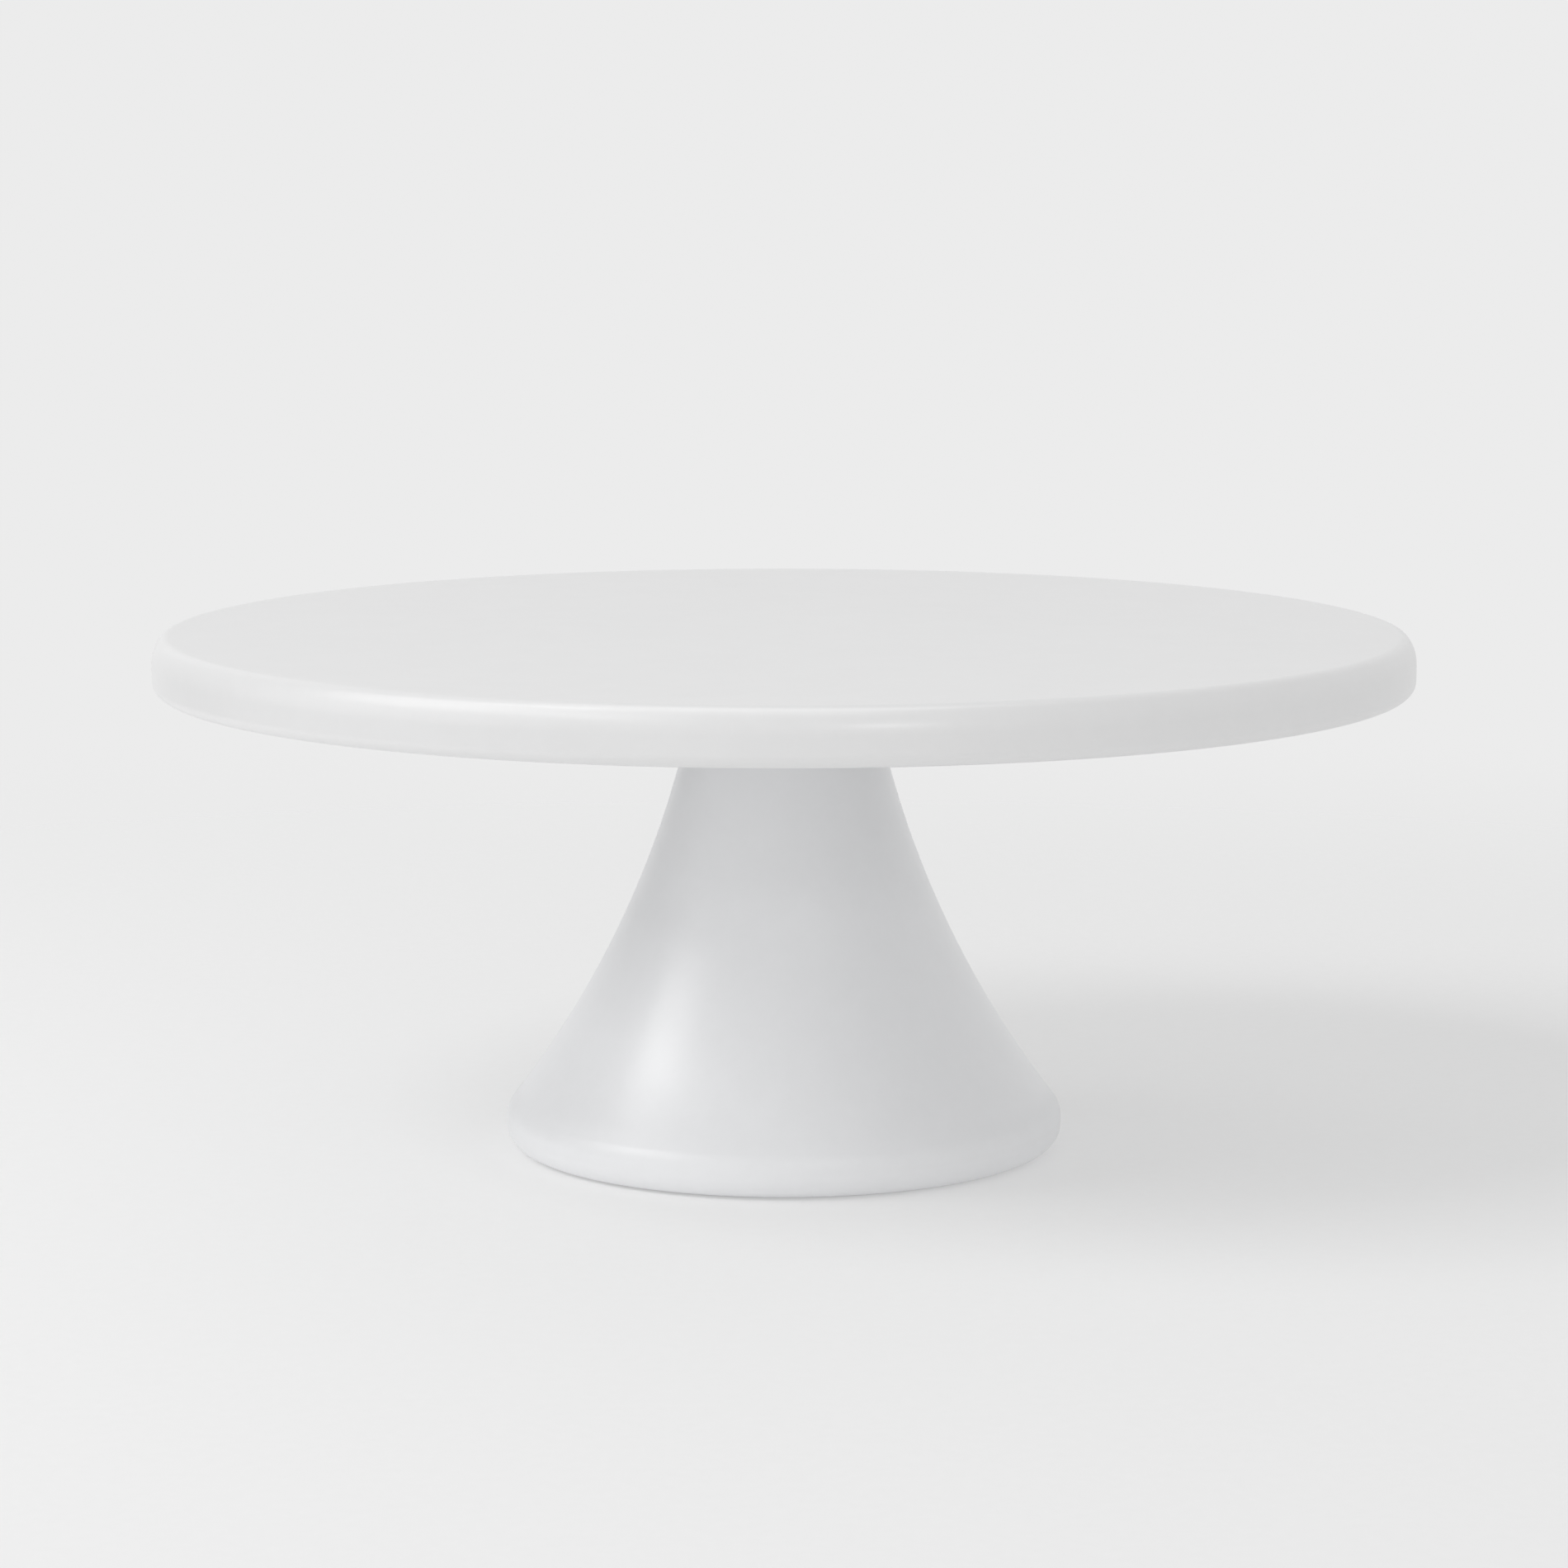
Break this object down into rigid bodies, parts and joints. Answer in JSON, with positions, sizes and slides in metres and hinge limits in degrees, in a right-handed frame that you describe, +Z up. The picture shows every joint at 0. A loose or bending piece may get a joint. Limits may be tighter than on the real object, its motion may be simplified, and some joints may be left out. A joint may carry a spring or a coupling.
{
  "type": "cake stand",
  "caption": "Round flat plate with a rounded, turned-down rim on a hollow flared pedestal, clamped together by a stud and wing nut inside the neck.",
  "frame": {"origin": "on the table surface, on the stand's axis", "axes": "+Z up along the stand's axis; X and Y are alike, and the wing nut's wings lie along X"},
  "size_m": [0.305, 0.305, 0.127],
  "materials": {
    "coat": "satin white powder coat",
    "coat_under": "thinner white powder coat on the hidden side",
    "zinc_steel": "bright zinc plate",
    "silicone": "matt translucent grey silicone"
  },
  "bodies": {
    "stand": {"plate_pan": "coat", "stiffener_dish": "coat_under", "hub_plate": "zinc_steel", "hub_rivets": "zinc_steel", "clamp_stud": "zinc_steel", "neck_gasket": "silicone", "pedestal_shell": "coat", "backing_disc": "zinc_steel", "non_slip_ring": "silicone"},
    "washers": {"flat_washer": "zinc_steel", "spring_washer": "zinc_steel"},
    "nut": {"wing_nut": "zinc_steel"}
  },
  "joints": [
    {"name": "nut_travel", "type": "slide", "parent": "stand", "child": "washers", "axis": [0, 0, 1], "range_m": [-0.011, 0]},
    {"name": "nut_turn", "type": "hinge", "parent": "washers", "child": "nut", "pos_m": [0, 0, 0.106], "axis": [0, 0, 1], "range_deg": [-3960, 0]}
  ],
  "couplings": [
    {"joint": "nut_travel", "follows": "nut_turn", "m_per_rad": 0.00015915}
  ]
}
